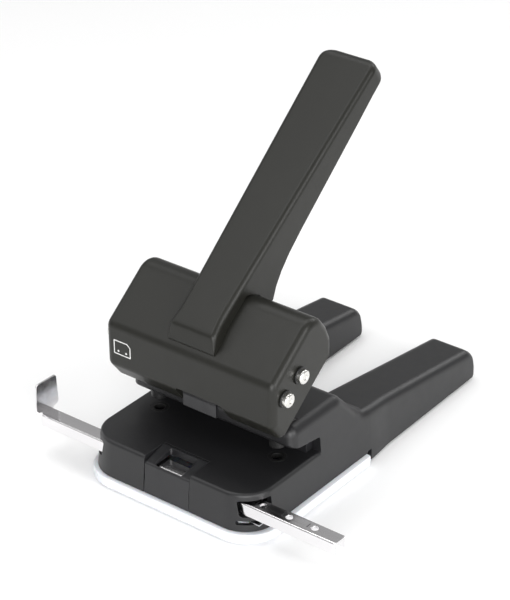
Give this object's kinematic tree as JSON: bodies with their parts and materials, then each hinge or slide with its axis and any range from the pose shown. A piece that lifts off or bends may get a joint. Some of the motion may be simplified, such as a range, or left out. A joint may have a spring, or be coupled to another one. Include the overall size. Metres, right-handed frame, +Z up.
{
  "type": "hole punch",
  "caption": "Heavy-duty paper hole punch with a raised lever handle, forked base, sliding guide bar with flag stop, sight window and snap-in chip tray.",
  "frame": {"origin": "on the resting face, under the middle of the punch row", "axes": "+X along the punch row to the right, +Y from the paper side to the handle side, +Z up"},
  "size_m": [0.1982, 0.217, 0.2068],
  "materials": {
    "casing_black": "satin, finely textured",
    "lever_black": "satin, finely textured",
    "bezel_black": "satin",
    "tool_steel": "ground, dark oiled",
    "frame_steel": "zinc plated",
    "nickel": "turned and nickel plated",
    "ring_black": "black oxide",
    "bar_chrome": "polished",
    "spring_steel": "drawn wire",
    "tray_white": "smooth",
    "foot_rubber": "matt"
  },
  "bodies": {
    "base": {"base_casing": "casing_black", "sight_bezel": "bezel_black", "die_inserts": "ring_black", "pivot_frame": "ring_black", "punch_guides": "ring_black", "frame_screws": "ring_black", "return_spring_left": "spring_steel", "return_spring_right": "spring_steel", "detent_spring": "spring_steel", "leg_feet": "foot_rubber", "paper_stop": "bezel_black"},
    "lever": {"fulcrum_axle": "nickel", "drive_axle": "nickel", "axle_rings": "ring_black", "lever_frame": "frame_steel", "head_cover": "lever_black", "handle_grip": "lever_black", "lock_tab": "bezel_black", "frame_rivets": "frame_steel"},
    "punch_l": {"punch_left": "tool_steel", "punch_caps_left": "frame_steel"},
    "punch_r": {"punch_right": "tool_steel", "punch_caps_right": "frame_steel"},
    "guide": {"guide_bar": "bar_chrome"},
    "tray": {"chip_tray": "tray_white"}
  },
  "joints": [
    {"name": "lever_hinge", "type": "hinge", "parent": "base", "child": "lever", "pos_m": [0, -0.01505, 0.07809], "axis": [-1, 0, 0], "range_deg": [0, 42], "stiffness_Nm_per_rad": 0.8, "springref_deg": -68.75},
    {"name": "punch_left_slide", "type": "slide", "parent": "base", "child": "punch_l", "axis": [0, 0, -1], "range_m": [0, 0.0105], "deforming": ["return_spring_left"]},
    {"name": "punch_right_slide", "type": "slide", "parent": "base", "child": "punch_r", "axis": [0, 0, -1], "range_m": [0, 0.0105], "deforming": ["return_spring_right"]},
    {"name": "guide_bar_slide", "type": "slide", "parent": "base", "child": "guide", "axis": [1, 0, 0], "range_m": [-0.045, 0.031]},
    {"name": "tray_release", "type": "slide", "parent": "base", "child": "tray", "axis": [0, 0, -1], "range_m": [0, 0.03]}
  ],
  "couplings": [
    {"joint": "punch_left_slide", "follows": "lever_hinge", "m_per_rad": 0.01425},
    {"joint": "punch_right_slide", "follows": "lever_hinge", "m_per_rad": 0.01425}
  ]
}
